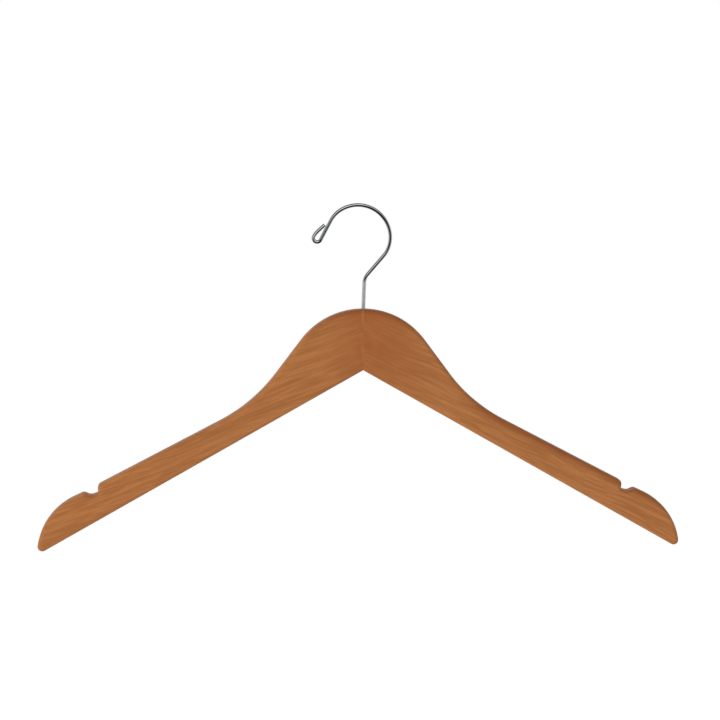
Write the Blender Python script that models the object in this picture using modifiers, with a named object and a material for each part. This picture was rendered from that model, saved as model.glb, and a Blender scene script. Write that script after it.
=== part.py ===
"""Flat wooden clothes hanger with a swivelling wire hook.

Two hardwood arms are dowelled and glued edge to edge at an upright seam. A plated wire hook turns in a
hole down that seam, and its upset head bears on a washer in a pocket between the arms.

Units are metres. +X runs along the hanger, +Y from its front face to its back, +Z up. The origin is on the
hook's swivel axis, at the height of the inside of the crook, where a rail would touch it.
"""

from math import ceil, cos, radians, sin, sqrt, tan

import bmesh
import bpy
from mathutils import Matrix, Vector

# Board
OVERALL_WIDTH = 0.432
BOARD_THICKNESS = 0.012
EDGE_ROUNDING = 0.003
UNDERSIDE_SLOPE = radians(29.6)

# Crown and neck of the board
CROWN_HEIGHT = 0.0407
CROWN_RADIUS = 0.0514
NECK_SLOPE = radians(53.1)
NECK_RADIUS = 0.110

# Shoulder, measured at the strap notch
SHOULDER_SLOPE = radians(27.6)
SHOULDER_DEPTH = 0.0238
NOTCH_FROM_TIP = 0.0398

# Strap notch: an undercut wall, a round root and a hollow floor that rises to an outer lip
NOTCH_DEPTH = 0.0052
NOTCH_UNDERCUT = 0.0007
NOTCH_ROOT_RADIUS = 0.0018
NOTCH_FLOOR_REACH = 0.0052
NOTCH_FLOOR_DROP = 0.0018
NOTCH_FLOOR_RADIUS = 0.0057
NOTCH_WIDTH = 0.0088
NOTCH_LIP_DROP = 0.0048

# Tip: a long swell from the lip that ends in a small round nose
LIP_SLOPE = radians(25.0)
TIP_SLOPE = radians(81.5)
CORNER_MARGIN = 0.0002

# Wire hook, from the wood upwards
WIRE_DIAMETER = 0.0026
STEM_LEAN = radians(1.6)
STEM_LEAN_RADIUS = 0.006
STEM_LENGTH = 0.0172
KNEE_RADIUS = 0.0092
KNEE_TURN = radians(39.0)
SHANK_LENGTH = 0.0160
CROOK_ENTRY_RADIUS = 0.0187
CROOK_ENTRY_TURN = radians(42.0)
CROOK_RADIUS = 0.0216
CROOK_TURN = radians(123.0)
CROOK_EXIT_RADIUS = 0.0176
CROOK_EXIT_TURN = radians(28.0)
POINT_LENGTH = 0.0147

# Eye bent at the end of the hook
EYE_HOLE_RADIUS = 0.0012
EYE_TURN = radians(180.0)
EYE_CLOSING_RADIUS = 0.012
EYE_CLOSING_TURN = radians(20.0)
EYE_RETURN_LENGTH = 0.0063
EYE_GAP = 0.0002

# Swivel inside the wood
BORE_CLEARANCE = 0.0003
BORE_LENGTH = 0.016
BORE_CHAMFER = 0.0005
HEAD_DIAMETER = 0.0054
HEAD_THICKNESS = 0.0016
HEAD_CHAMFER = 0.00065
WASHER_DIAMETER = 0.0080
WASHER_THICKNESS = 0.0010

# Dowels across the seam
DOWEL_DIAMETER = 0.005
DOWEL_LENGTH = 0.024
DOWEL_CHAMFER = 0.0005
DOWEL_WALL = 0.003

# Gap left between pieces that touch, and fineness of round shapes
FIT_GAP = 0.0003
BOARD_ARC_STEP = radians(6.0)
WIRE_ARC_STEP = radians(10.0)
ROUND_SIDES = 24
EDGE_SEGMENTS = 3
WIRE_RESOLUTION = 4
WELD_DISTANCE = 1e-6

# Angles between faces: flat enough to merge, sharp enough to shade as an edge, and square enough to round
FLAT_ANGLE = radians(0.2)
SHARP_ANGLE = radians(35)
SQUARE_ANGLE = radians(80)

NOTCH_FROM_CENTRE = OVERALL_WIDTH / 2 - NOTCH_FROM_TIP
WIRE_RADIUS = WIRE_DIAMETER / 2
EYE_RADIUS = EYE_HOLE_RADIUS + WIRE_RADIUS
BORE_RADIUS = WIRE_RADIUS + BORE_CLEARANCE
POCKET_RADIUS = max(WASHER_DIAMETER, HEAD_DIAMETER) / 2 + FIT_GAP
POCKET_DEPTH = WASHER_THICKNESS + HEAD_THICKNESS + 3 * FIT_GAP
POCKET_TOP = CROWN_HEIGHT - BORE_LENGTH
POCKET_BOTTOM = POCKET_TOP - POCKET_DEPTH
HEAD_TOP = POCKET_TOP - WASHER_THICKNESS - 2 * FIT_GAP
CORNER_RADIUS = EDGE_ROUNDING + CORNER_MARGIN


def direction(heading):
    """Unit vector in the board's plane, its heading turned anticlockwise from +X."""
    return Vector((cos(heading), sin(heading)))


def meet(point_a, heading_a, point_b, heading_b):
    """Point where two lines in the plane cross, each given by a point and a heading."""
    a, b = direction(heading_a), direction(heading_b)
    gap = point_b - point_a
    return point_a + a * (gap.cross(b) / a.cross(b))


def arc(centre, start, turn, step):
    """Points from start round centre through the signed turn, both ends included."""
    count = max(1, ceil(abs(turn) / step))
    spoke = start - centre
    return [centre + Matrix.Rotation(turn * k / count, 2) @ spoke for k in range(count + 1)]


def rounded_corner(before, corner, after, radius, step):
    """Arc of the radius that touches both lines through the corner, or the corner itself."""
    arriving = (corner - before).normalized()
    leaving = (after - corner).normalized()
    turn = -arriving.angle_signed(leaving)
    if radius == 0:
        return [corner]
    start = corner - arriving * abs(radius * tan(turn / 2))
    side = Vector((-arriving.y, arriving.x)) * (1 if turn > 0 else -1)
    return arc(start + side * radius, start, turn, step)


def crown_corner():
    """Point above the crown where the two neck lines would meet."""
    return Vector((0, CROWN_HEIGHT + CROWN_RADIUS * (1 / cos(NECK_SLOPE) - 1)))


def right_corners():
    """Corners of the right half of the board with their radii, from the neck out to the tip.

    They are measured from the apex, the point of the V under the middle of the board.
    """
    apex = Vector((0, 0))
    underside = -NOTCH_FROM_CENTRE * tan(UNDERSIDE_SLOPE)
    shoulder = Vector((NOTCH_FROM_CENTRE, underside + SHOULDER_DEPTH))
    neck = meet(crown_corner(), -NECK_SLOPE, shoulder, -SHOULDER_SLOPE)
    root = shoulder + Vector((-NOTCH_UNDERCUT, -NOTCH_DEPTH))
    floor = root + Vector((NOTCH_FLOOR_REACH, -NOTCH_FLOOR_DROP))
    lip = shoulder + Vector((NOTCH_WIDTH, -NOTCH_LIP_DROP))

    # The nose touches the underside, and its outermost point is at the overall width.
    nose_x = OVERALL_WIDTH / 2 - CORNER_RADIUS
    nose_z = CORNER_RADIUS / cos(UNDERSIDE_SLOPE) - nose_x * tan(UNDERSIDE_SLOPE)
    nose_touch = Vector((nose_x, nose_z)) + CORNER_RADIUS * Vector((sin(TIP_SLOPE), cos(TIP_SLOPE)))
    swell = meet(lip, -LIP_SLOPE, nose_touch, -TIP_SLOPE)
    tip = meet(nose_touch, -TIP_SLOPE, apex, -UNDERSIDE_SLOPE)

    lip_turn = (lip - floor).angle_signed(swell - lip)
    lip_run = (swell - lip).length - CORNER_RADIUS * abs(tan(lip_turn / 2))
    nose_run = (nose_touch - swell).length
    swell_radius = min(lip_run, nose_run) / tan((TIP_SLOPE - LIP_SLOPE) / 2)
    return [
        (neck, NECK_RADIUS),
        (shoulder, CORNER_RADIUS),
        (root, NOTCH_ROOT_RADIUS),
        (floor, NOTCH_FLOOR_RADIUS),
        (lip, CORNER_RADIUS),
        (swell, swell_radius),
        (tip, CORNER_RADIUS),
    ]


def board_outline():
    """Closed outline of both arms together, clockwise from the crown."""
    right = right_corners()
    left = [(Vector((-corner.x, corner.y)), radius) for corner, radius in reversed(right)]
    corners = [(crown_corner(), CROWN_RADIUS), *right, (Vector((0, 0)), 0), *left]
    points = []
    for k, (corner, radius) in enumerate(corners):
        before = corners[k - 1][0]
        after = corners[(k + 1) % len(corners)][0]
        points += rounded_corner(before, corner, after, radius, BOARD_ARC_STEP)
    return points


class Pen:
    """Draws the line of a bent wire as straight runs and bends of known radius."""

    def __init__(self, start, heading):
        self.points = [start]
        self.heading = heading

    def straight(self, length):
        self.points.append(self.points[-1] + direction(self.heading) * length)

    def bend(self, radius, turn):
        """Bend anticlockwise for a positive turn and clockwise for a negative one."""
        start = self.points[-1]
        side = self.heading + radians(90 if turn > 0 else -90)
        self.points += arc(start + direction(side) * radius, start, turn, WIRE_ARC_STEP)[1:]
        self.heading += turn


def hook_line():
    """Centre line of the hook above the wood, from the crown, and the index where its eye begins."""
    pen = Pen(Vector((0, 0)), radians(90))
    pen.bend(STEM_LEAN_RADIUS, -STEM_LEAN)
    pen.straight(STEM_LENGTH)
    pen.bend(KNEE_RADIUS, -KNEE_TURN)
    pen.straight(SHANK_LENGTH)
    pen.bend(CROOK_ENTRY_RADIUS, CROOK_ENTRY_TURN)
    pen.bend(CROOK_RADIUS, CROOK_TURN)
    pen.bend(CROOK_EXIT_RADIUS, CROOK_EXIT_TURN)
    pen.straight(POINT_LENGTH)
    eye_start = len(pen.points) - 1
    pen.bend(EYE_RADIUS, -EYE_TURN)
    pen.bend(EYE_CLOSING_RADIUS, -EYE_CLOSING_TURN)
    pen.straight(EYE_RETURN_LENGTH)
    return pen.points, eye_start


def eye_set_back(line, eye_start):
    """How far the eye's end lies behind the wire it closes on, to clear it by the eye's gap."""
    along = (line[eye_start] - line[eye_start - 1]).normalized()
    aside = abs(along.cross(line[-1] - line[eye_start]))
    apart = WIRE_DIAMETER + EYE_GAP
    return sqrt(max(0.0, apart**2 - aside**2))


def hook_points():
    """Points of the whole wire in space with its radius at each, from the head to the end of the eye.

    The eye closes behind the wire: it moves back evenly along its length.
    """
    line, eye_start = hook_line()
    set_back = eye_set_back(line, eye_start)
    crown_z = apex_height() + CROWN_HEIGHT
    head_top = apex_height() + HEAD_TOP
    wire = [
        (Vector((0, 0, head_top - HEAD_THICKNESS)), HEAD_DIAMETER / 2),
        (Vector((0, 0, head_top - HEAD_CHAMFER)), HEAD_DIAMETER / 2),
        (Vector((0, 0, head_top)), WIRE_RADIUS),
    ]
    run = 0.0
    eye_length = sum((b - a).length for a, b in zip(line[eye_start:], line[eye_start + 1 :]))
    for k, point in enumerate(line):
        if k > eye_start:
            run += (point - line[k - 1]).length
        back = set_back * run / eye_length
        wire.append((Vector((point.x, back, crown_z + point.y)), WIRE_RADIUS))
    return wire


def apex_height():
    """Height of the board's apex, which puts the inside of the crook at zero."""
    line, _ = hook_line()
    return WIRE_RADIUS - max(point.y for point in line) - CROWN_HEIGHT


def finish(name, colour, roughness, metallic):
    """Principled material of one plain colour."""
    material = bpy.data.materials.new(name)
    material.use_nodes = True
    shader = material.node_tree.nodes["Principled BSDF"]
    shader.inputs["Base Color"].default_value = (*colour, 1)
    shader.inputs["Roughness"].default_value = roughness
    shader.inputs["Metallic"].default_value = metallic
    material.diffuse_color = (*colour, 1)
    return material


def new_object(name, mesh, collection, material=None):
    obj = bpy.data.objects.new(name, mesh)
    collection.objects.link(obj)
    if material:
        mesh.materials.append(material)
    return obj


def mesh_of_curve(obj):
    """Mesh of a curve object in world space, caps welded on. The curve is removed."""
    bpy.context.view_layer.update()
    evaluated = obj.evaluated_get(bpy.context.evaluated_depsgraph_get())
    mesh = bpy.data.meshes.new_from_object(evaluated)
    mesh.transform(obj.matrix_world)
    bpy.data.objects.remove(obj)
    bm = bmesh.new()
    bm.from_mesh(mesh)
    bmesh.ops.remove_doubles(bm, verts=bm.verts, dist=WELD_DISTANCE)
    bmesh.ops.dissolve_limit(bm, angle_limit=FLAT_ANGLE, verts=bm.verts, edges=bm.edges)
    bmesh.ops.recalc_face_normals(bm, faces=bm.faces)
    bm.to_mesh(mesh)
    bm.free()
    return mesh


def shade_round(mesh):
    mesh.shade_smooth()
    mesh.set_sharp_from_angle(angle=SHARP_ANGLE)


def cylinder_mesh(name, radius, length, axis):
    """Closed cylinder centred on the origin, along X or Z."""
    bm = bmesh.new()
    bmesh.ops.create_cone(
        bm, cap_ends=True, segments=ROUND_SIDES, radius1=radius, radius2=radius, depth=length
    )
    if axis == "X":
        bmesh.ops.rotate(bm, verts=bm.verts, matrix=Matrix.Rotation(radians(90), 3, "Y"))
    mesh = bpy.data.meshes.new(name)
    bm.to_mesh(mesh)
    bm.free()
    return mesh


def turned(name, profile, collection):
    """Solid turned about Z from a profile of (radius, height), outer side from top to bottom."""
    bm = bmesh.new()
    verts = [bm.verts.new((radius, 0, height)) for radius, height in profile]
    for a, b in zip(verts, verts[1:]):
        bm.edges.new((a, b))
    if profile[0][0] > 0:
        bm.edges.new((verts[-1], verts[0]))
    mesh = bpy.data.meshes.new(name)
    bm.to_mesh(mesh)
    bm.free()
    obj = new_object(name, mesh, collection)
    screw = obj.modifiers.new("turn", "SCREW")
    screw.steps = screw.render_steps = ROUND_SIDES
    screw.use_merge_vertices = True
    screw.merge_threshold = WELD_DISTANCE
    return obj


def make_cutter(obj):
    obj.hide_render = True
    obj.display_type = "WIRE"
    return obj


def cut(obj, cutter):
    boolean = obj.modifiers.new(cutter.name, "BOOLEAN")
    boolean.operation = "DIFFERENCE"
    boolean.solver = "EXACT"
    boolean.object = cutter


def board_mesh(name):
    """The board as one blank: the outline thickened, before its edges are rounded."""
    curve = bpy.data.curves.new(name, "CURVE")
    curve.dimensions = "2D"
    curve.fill_mode = "BOTH"
    curve.extrude = BOARD_THICKNESS / 2
    outline = board_outline()
    spline = curve.splines.new("POLY")
    spline.points.add(len(outline) - 1)
    for point, corner in zip(spline.points, outline):
        point.co = (corner.x, corner.y, 0, 1)
    spline.use_cyclic_u = True
    obj = new_object(name, curve, bpy.context.scene.collection)
    obj.rotation_euler.x = radians(90)
    return mesh_of_curve(obj)


def swivel_cutter(collection, parent):
    """Bore, chamfered mouth and head pocket as one turned cutter down the seam."""
    mouth = CROWN_HEIGHT + BORE_CHAMFER
    profile = [
        (0, mouth),
        (BORE_RADIUS + 2 * BORE_CHAMFER, mouth),
        (BORE_RADIUS, CROWN_HEIGHT - BORE_CHAMFER),
        (BORE_RADIUS, POCKET_TOP),
        (POCKET_RADIUS, POCKET_TOP),
        (POCKET_RADIUS, POCKET_BOTTOM),
        (0, POCKET_BOTTOM),
    ]
    cutter = make_cutter(turned("swivel_cutter", profile, collection))
    cutter.parent = parent
    return cutter


def dowel_heights():
    """Centres of the dowels above the apex, stacked below the pocket with a wall between."""
    pitch = DOWEL_DIAMETER + 2 * FIT_GAP + DOWEL_WALL
    upper = POCKET_BOTTOM - DOWEL_WALL - DOWEL_DIAMETER / 2 - FIT_GAP
    return {"upper": upper, "lower": upper - pitch}


def dowel_cutters(collection, parent):
    cutters = []
    for place, height in dowel_heights().items():
        name = f"{place}_dowel_cutter"
        mesh = cylinder_mesh(name, DOWEL_DIAMETER / 2 + FIT_GAP, DOWEL_LENGTH + 2 * FIT_GAP, "X")
        cutter = make_cutter(new_object(name, mesh, collection))
        cutter.location.z = height
        cutter.parent = parent
        cutters.append(cutter)
    return cutters


def seam_cutter(side, collection, parent):
    """Block that takes away the other arm and this arm's share of the gap in the seam."""
    bm = bmesh.new()
    bmesh.ops.create_cube(bm, size=1)
    size = Vector((OVERALL_WIDTH, 2 * BOARD_THICKNESS, OVERALL_WIDTH))
    bmesh.ops.scale(bm, vec=size, verts=bm.verts)
    name = f"{'right' if side > 0 else 'left'}_seam_cutter"
    mesh = bpy.data.meshes.new(name)
    bm.to_mesh(mesh)
    bm.free()
    cutter = make_cutter(new_object(name, mesh, collection))
    cutter.location.x = side * (FIT_GAP / 2 - OVERALL_WIDTH / 2)
    cutter.parent = parent
    return cutter


def make_arm(name, side, collection, cutters_collection, parent, cutters, material):
    """One arm: the board with rounded edges, cut off at the seam, bored and drilled."""
    arm = new_object(name, board_mesh(name), collection, material)
    arm.parent = parent
    bevel = arm.modifiers.new("rounded edges", "BEVEL")
    bevel.width = EDGE_ROUNDING
    bevel.segments = EDGE_SEGMENTS
    bevel.limit_method = "ANGLE"
    bevel.angle_limit = SQUARE_ANGLE
    bevel.use_clamp_overlap = False
    cut(arm, seam_cutter(side, cutters_collection, parent))
    for cutter in cutters:
        cut(arm, cutter)
    shade_round(arm.data)
    return arm


def make_dowel(place, height, collection, parent, material):
    name = f"{place}_dowel"
    mesh = cylinder_mesh(name, DOWEL_DIAMETER / 2, DOWEL_LENGTH, "X")
    dowel = new_object(name, mesh, collection, material)
    dowel.location.z = height
    dowel.parent = parent
    chamfer = dowel.modifiers.new("chamfered ends", "BEVEL")
    chamfer.width = DOWEL_CHAMFER
    chamfer.limit_method = "ANGLE"
    chamfer.angle_limit = SQUARE_ANGLE
    shade_round(mesh)
    return dowel


def make_washer(collection, parent, material):
    inner = BORE_RADIUS
    outer = WASHER_DIAMETER / 2
    top = POCKET_TOP - FIT_GAP
    bottom = top - WASHER_THICKNESS
    profile = [(inner, top), (outer, top), (outer, bottom), (inner, bottom)]
    washer = turned("thrust_washer", profile, collection)
    washer.data.materials.append(material)
    washer.parent = parent
    return washer


def make_hook(collection, material):
    curve = bpy.data.curves.new("hook", "CURVE")
    curve.dimensions = "3D"
    curve.bevel_depth = WIRE_RADIUS
    curve.bevel_resolution = WIRE_RESOLUTION
    curve.use_fill_caps = True
    wire = hook_points()
    spline = curve.splines.new("POLY")
    spline.points.add(len(wire) - 1)
    for point, (place, radius) in zip(spline.points, wire):
        point.co = (*place, 1)
        point.radius = radius / WIRE_RADIUS
    mesh = mesh_of_curve(new_object("hook", curve, bpy.context.scene.collection))
    mesh.name = "hook"
    shade_round(mesh)
    return new_object("hook", mesh, collection, material)


def new_collection(name):
    collection = bpy.data.collections.new(name)
    bpy.context.scene.collection.children.link(collection)
    return collection


def main():
    for obj in list(bpy.data.objects):
        bpy.data.objects.remove(obj)
    hanger = new_collection("clothes_hanger")
    cutters = new_collection("cutters")

    lacquered_wood = finish("lacquered hardwood", (0.38, 0.14, 0.04), 0.35, 0.0)
    chrome = finish("chrome-plated wire", (0.62, 0.62, 0.63), 0.12, 1.0)
    steel = finish("zinc-plated steel", (0.55, 0.55, 0.55), 0.35, 1.0)
    beech = finish("plain beech", (0.60, 0.40, 0.22), 0.6, 0.0)

    apex = bpy.data.objects.new("board_apex", None)
    apex.location.z = apex_height()
    hanger.objects.link(apex)

    holes = [swivel_cutter(cutters, apex), *dowel_cutters(cutters, apex)]
    make_arm("left_arm", -1, hanger, cutters, apex, holes, lacquered_wood)
    make_arm("right_arm", 1, hanger, cutters, apex, holes, lacquered_wood)
    for place, height in dowel_heights().items():
        make_dowel(place, height, hanger, apex, beech)
    make_washer(hanger, apex, steel)
    make_hook(hanger, chrome)


main()
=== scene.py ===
"""Looks of a flat wooden clothes hanger with a swivelling wire hook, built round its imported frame.

Units are metres. +X runs along the hanger, +Y from its front face to its back, +Z up. The swivel axis is
the Z axis, and the inside of the crook is at height zero.
"""

from math import atan2, cos, pi, radians, sin, sqrt, tan

import bmesh
import bpy
import numpy as np
from bpy.props import FloatProperty, FloatVectorProperty, PointerProperty
from mathutils import Matrix, Vector


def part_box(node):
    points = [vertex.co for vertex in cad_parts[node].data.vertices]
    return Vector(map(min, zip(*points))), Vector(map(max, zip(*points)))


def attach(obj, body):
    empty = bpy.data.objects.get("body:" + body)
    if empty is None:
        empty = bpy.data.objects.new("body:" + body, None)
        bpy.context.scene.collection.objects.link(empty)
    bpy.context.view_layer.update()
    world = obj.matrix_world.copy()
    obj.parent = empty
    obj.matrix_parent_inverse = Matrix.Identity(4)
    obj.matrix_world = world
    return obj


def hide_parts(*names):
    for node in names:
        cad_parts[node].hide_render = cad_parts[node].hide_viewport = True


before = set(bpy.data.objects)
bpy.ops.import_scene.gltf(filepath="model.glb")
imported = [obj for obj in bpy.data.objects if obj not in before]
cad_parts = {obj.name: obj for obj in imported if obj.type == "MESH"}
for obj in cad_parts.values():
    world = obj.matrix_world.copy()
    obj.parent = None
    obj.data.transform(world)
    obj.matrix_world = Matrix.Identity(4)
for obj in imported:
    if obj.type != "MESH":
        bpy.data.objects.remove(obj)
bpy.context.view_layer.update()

bl_info = {
    "name": "Wooden Clothes Hanger",
    "version": (1, 0, 0),
    "blender": (4, 5, 0),
    "location": "3D View > Sidebar > Hanger",
    "description": "Builds a flat wooden top hanger with a swivelling wire hook, and its studio",
    "category": "Object",
}

ARM_LOW, ARM_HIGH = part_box("right_arm")
HOOK_LOW, HOOK_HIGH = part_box("hook")
WASHER_LOW, WASHER_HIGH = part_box("thrust_washer")
DOWELS = [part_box("upper_dowel"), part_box("lower_dowel")]

# How finely lines, the wire's section, rounded edges and turned holes are drawn
ARC_STEP = radians(4.0)
BOARD_SPACING = 0.0015
WIRE_SPACING = 0.0006
WIRE_SIDES = 40
ROUNDING_STEPS = 10
HEAD_STEPS = 6
CUTTER_SIDES = 48
FLOOR_RINGS = 12
FLOOR_SIDES = 96

# Rows across each flat face of an arm, and the narrow flat strip beside each rounded edge
SHEET_ROWS = 6
SUPPORT_WIDTH = 0.00015

# Lengths over which the arm's columns fan out to the seam and to the nose
FAN_AT_SEAM = 0.040
FAN_AT_NOSE = 0.012

# Room round the washer, the hook's head and the dowels in the wood
FIT_GAP = 0.0003

SHARP_ANGLE = radians(30.0)
WELD_DISTANCE = 1e-7
SMOOTHLY = {"interpolation_type": "SMOOTHSTEP"}

# Length and width of each kind of grain streak, the detail in it, and its share of the wood's figure
GRAIN_STREAKS = (
    (0.080, 0.0055, 1.0, 0.25),
    (0.030, 0.0013, 1.0, 0.45),
    (0.014, 0.0007, 1.0, 0.30),
)

# Studio lamps: place, width, height and power in watts
LAMPS = {
    "key": ((-1.4, -1.1, -0.4), 0.9, 0.9, 9),
    "fill": ((0.4, -1.6, -0.5), 0.9, 0.9, 3),
}

# Light that falls on the hanger from all round, and the glows added to it. Each glow has its direction, the
# degrees within which it is full, the degrees beyond which it is gone, and its level.
AMBIENT = 0.62
AMBIENT_GLOWS = (
    ((-0.95, -0.25, 0.2), 30, 95, 0.42),
    ((-0.1, -0.4, -0.9), 30, 100, 0.25),
)

# The same for what metal and lacquer reflect: a dim room, a lit backdrop, pale sides and two softboxes
ROOM = 0.02
ROOM_GLOWS = (
    ((0, 1, 0), 55, 80, 1.0),
    ((-1, -0.15, 0), 20, 50, 0.55),
    ((1, -0.15, 0), 20, 50, 0.55),
    ((-0.15, -0.88, 0.45), 14, 26, 1.2),
    ((0.40, -0.72, 0.57), 8, 24, 0.8),
)


def linear(hex_colour):
    """Linear RGB of an sRGB hex colour."""
    parts = [int(hex_colour[k : k + 2], 16) / 255 for k in (0, 2, 4)]
    return tuple(c / 12.92 if c <= 0.04045 else ((c + 0.055) / 1.055) ** 2.4 for c in parts)


def size_property(name, description, metres):
    return FloatProperty(
        name=name, description=description, default=metres, min=0, unit="LENGTH", precision=5
    )


def angle_property(name, description, turn):
    return FloatProperty(name=name, description=description, default=radians(turn), unit="ROTATION")


def share_property(name, description, share):
    return FloatProperty(name=name, description=description, default=share, min=0, max=1)


def colour_property(name, description, hex_colour):
    return FloatVectorProperty(
        name=name, description=description, subtype="COLOR", default=linear(hex_colour), min=0, max=1
    )


class HangerBoardSettings(bpy.types.PropertyGroup):
    """Shape of the two wooden arms."""

    width: size_property("Width", "Length of the whole hanger from tip to tip", 2 * ARM_HIGH.x)
    thickness: size_property("Thickness", "Thickness of the arms", ARM_HIGH.y - ARM_LOW.y)
    crown_z: size_property("Crown height", "Depth of the crown under the rail seat", -ARM_HIGH.z)
    rounding: size_property("Edge rounding", "Radius worked on the arms' long edges", 0.003)
    corner_radius: size_property("Corner radius", "Radius of the small outline corners", 0.0032)
    underside_slope: angle_property("Underside slope", "Fall of the underside of each arm", 29.6)
    crown_height: size_property("Crown above apex", "Height of the wood at the seam", 0.0407)
    crown_radius: size_property("Crown radius", "Radius of the top of the board", 0.0514)
    neck_slope: angle_property("Neck slope", "Fall where the crown runs into the neck", 53.1)
    neck_radius: size_property("Neck radius", "Hollow radius between crown and shoulder", 0.110)
    shoulder_slope: angle_property("Shoulder slope", "Fall of the shoulder", 27.6)
    shoulder_depth: size_property("Shoulder depth", "Upright depth of the arm at the notch", 0.0238)
    notch_from_tip: size_property("Notch place", "Distance of the strap notch from the tip", 0.0398)
    notch_depth: size_property("Notch depth", "Depth of the notch's wall", 0.0052)
    notch_undercut: size_property("Notch undercut", "How far the wall leans back", 0.0007)
    notch_root: size_property("Notch root", "Radius at the foot of the wall", 0.0018)
    floor_reach: size_property("Floor reach", "Length of the notch's floor", 0.0052)
    floor_drop: size_property("Floor drop", "Fall of the notch's floor", 0.0018)
    floor_radius: size_property("Floor radius", "Radius at the lowest part of the notch", 0.0057)
    notch_width: size_property("Notch width", "Width from the shoulder to the lip", 0.0088)
    lip_drop: size_property("Lip drop", "Height of the shoulder above the lip", 0.0048)
    lip_slope: angle_property("Lip slope", "Fall of the outline just past the lip", 25.0)
    tip_slope: angle_property("Tip slope", "Fall of the outline just above the nose", 81.5)
    seam_gap: size_property("Glue line", "Half the width of the glue line", 0.000005)
    arris: size_property("Seam arris", "Softening of the edges that meet at the seam", 0.00002)
    bore_clearance: size_property("Bore clearance", "Room round the wire in its hole", 0.0003)
    bore_chamfer: size_property("Bore chamfer", "Chamfer at the mouth of the hook's hole", 0.0005)


class HangerHookSettings(bpy.types.PropertyGroup):
    """Shape of the bent wire hook."""

    wire: size_property("Wire diameter", "Diameter of the plated wire", 0.0026)
    lean: angle_property("Stem lean", "Lean of the stem out of the wood", 1.6)
    lean_radius: size_property("Lean radius", "Bend radius at the foot of the stem", 0.006)
    stem: size_property("Stem length", "Straight run above the wood", 0.0172)
    knee_radius: size_property("Knee radius", "Bend radius at the top of the stem", 0.0092)
    knee_turn: angle_property("Knee turn", "Bend at the top of the stem", 39.0)
    shank: size_property("Shank length", "Slanting straight run up to the crook", 0.0160)
    entry_radius: size_property("Entry radius", "Radius where the crook begins", 0.0187)
    entry_turn: angle_property("Entry turn", "Turn where the crook begins", 42.0)
    crook_radius: size_property("Crook radius", "Radius of the crook over the rail", 0.0216)
    crook_turn: angle_property("Crook turn", "Turn of the crook over the rail", 123.0)
    exit_radius: size_property("Exit radius", "Radius where the crook ends", 0.0176)
    exit_turn: angle_property("Exit turn", "Turn where the crook ends", 28.0)
    point: size_property("Point length", "Straight run down to the eye", 0.0147)
    eye_hole: size_property("Eye hole radius", "Radius of the hole in the closed eye", 0.0012)
    closing_radius: size_property("Closing radius", "Radius of the eye's returning leg", 0.012)
    closing_turn: angle_property("Closing turn", "Turn of the eye's returning leg", 20.0)
    eye_return: size_property("Eye return", "Straight end of the returning leg", 0.0063)
    eye_gap: size_property("Eye gap", "Gap where the eye closes on the wire", 0.0002)
    head: size_property("Head diameter", "Diameter of the upset head in the wood", 0.0054)
    head_thickness: size_property("Head thickness", "Thickness of the upset head", 0.0016)
    cut_chamfer: size_property("Cut edge", "Softening of the sheared end of the wire", 0.00018)


class HangerFinishSettings(bpy.types.PropertyGroup):
    """Colours and gloss of the hanger's finishes, and the colour of the painted shade on the arms' upper
    edges.
    """

    wood: colour_property("Wood", "Stained wood between the grain lines", "AE7240")
    wood_dark: colour_property("Grain", "Stained wood in the grain lines", "995F30")
    wood_warm: colour_property("Warm stain", "Redder wood near the seam", "935126")
    # Painted shade: darker colour on the crown's rounded top edge and along the top of the right shoulder,
    # where they face away from the light
    wood_edge: colour_property("Edge shade", "Darker wood on the rounded edges", "84451D")
    wood_pale: colour_property("Pale strip", "Wood beside the seam that took less stain", "B4774E")
    grain_slope_left: angle_property("Left grain", "Fall of the left arm's grain to its tip", 21.5)
    grain_slope_right: angle_property("Right grain", "Fall of the right arm's grain to its tip", 25.5)
    wood_roughness: share_property("Wood roughness", "Roughness of the wood under the lacquer", 0.55)
    lacquer: share_property("Lacquer", "Weight of the clear lacquer", 0.06)
    lacquer_roughness: share_property("Lacquer roughness", "Roughness of the lacquer", 0.32)
    chrome: colour_property("Chrome", "Colour of the plated wire", "CDCFD2")
    chrome_roughness: share_property("Chrome roughness", "Roughness of the bent part", 0.05)
    stem_roughness: share_property("Stem roughness", "Roughness of the gripped stem", 0.45)
    stem_mirror: share_property("Stem mirror", "Share of mirror-like metal left on the stem", 0.70)
    zinc: colour_property("Zinc", "Colour of the washer", "B9BDC2")
    zinc_dark: colour_property("Zinc bloom", "Colour of the washer's crystal bloom", "8E949B")
    beech: colour_property("Beech", "Colour of the dowels", "CFA97F")
    beech_dark: colour_property("Beech flecks", "Colour of the flecks in the dowels", "A97C50")


class HangerStageSettings(bpy.types.PropertyGroup):
    """The studio: camera, lights and floor."""

    azimuth: angle_property("Camera azimuth", "How far the camera stands round to the left", -4.909)
    elevation: angle_property("Camera elevation", "How far the camera looks down", 7.390)
    roll: angle_property("Camera roll", "How far the camera is turned about its view", 0.424)
    distance: size_property("Camera distance", "Distance from the camera to its target", 1.4382)
    target: size_property("Target depth", "Depth of the camera's target under the rail seat", 0.1018)
    target_left: size_property("Target to the left", "How far left of the swivel axis it is", 0.0019)
    focal: FloatProperty(name="Focal length", description="In millimetres", default=108.0)
    floor_depth: size_property("Floor depth", "Depth of the floor under the rail seat", 0.6)
    floor_radius: size_property("Floor radius", "Radius of the round floor", 1.2)


def settings(name):
    """Settings of one kind, held by the scene."""
    return getattr(bpy.context.scene, name)


# Lines and surfaces


def heading_vector(heading):
    return np.array([cos(heading), sin(heading)])


def meet(point_a, heading_a, point_b, heading_b):
    """Point where two lines in the plane cross, each given by a point and a heading."""
    directions = np.stack([heading_vector(heading_a), -heading_vector(heading_b)], 1)
    along, _ = np.linalg.solve(directions, point_b - point_a)
    return point_a + along * heading_vector(heading_a)


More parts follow.
